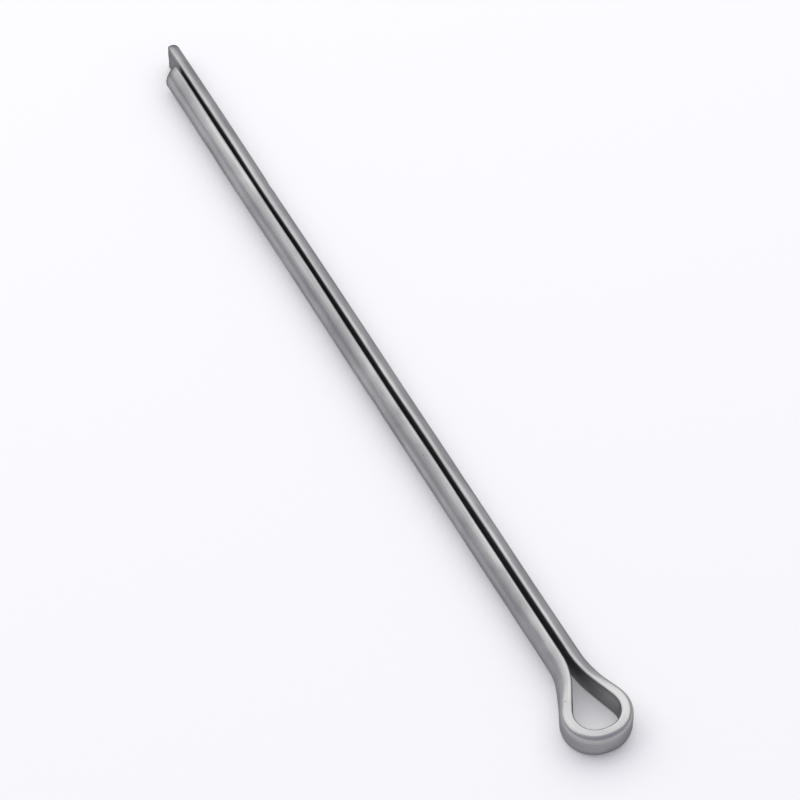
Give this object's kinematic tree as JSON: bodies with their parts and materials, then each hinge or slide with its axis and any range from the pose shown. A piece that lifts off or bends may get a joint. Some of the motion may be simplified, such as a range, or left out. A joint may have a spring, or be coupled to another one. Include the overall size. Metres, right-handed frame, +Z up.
{
  "type": "cotter pin",
  "caption": "Long split cotter pin folded from half-round steel wire, with a teardrop eye and legs of unequal length with slant-sheared tips.",
  "frame": {"origin": "on the shank's axis, where the straight legs start from the neck of the eye", "axes": "+X along the shank from the eye to the tips, +Y across the legs towards the shorter leg, +Z up, square to the plane of the eye, as the pin lies on its side"},
  "size_m": [0.0804, 0.0059, 0.0028],
  "materials": {
    "drawn_steel": "bare drawn steel wire, satin grey with fine draw lines, small pits and rubbed bends"
  },
  "bodies": {
    "root": {"cotter_pin": "drawn_steel"}
  },
  "joints": []
}
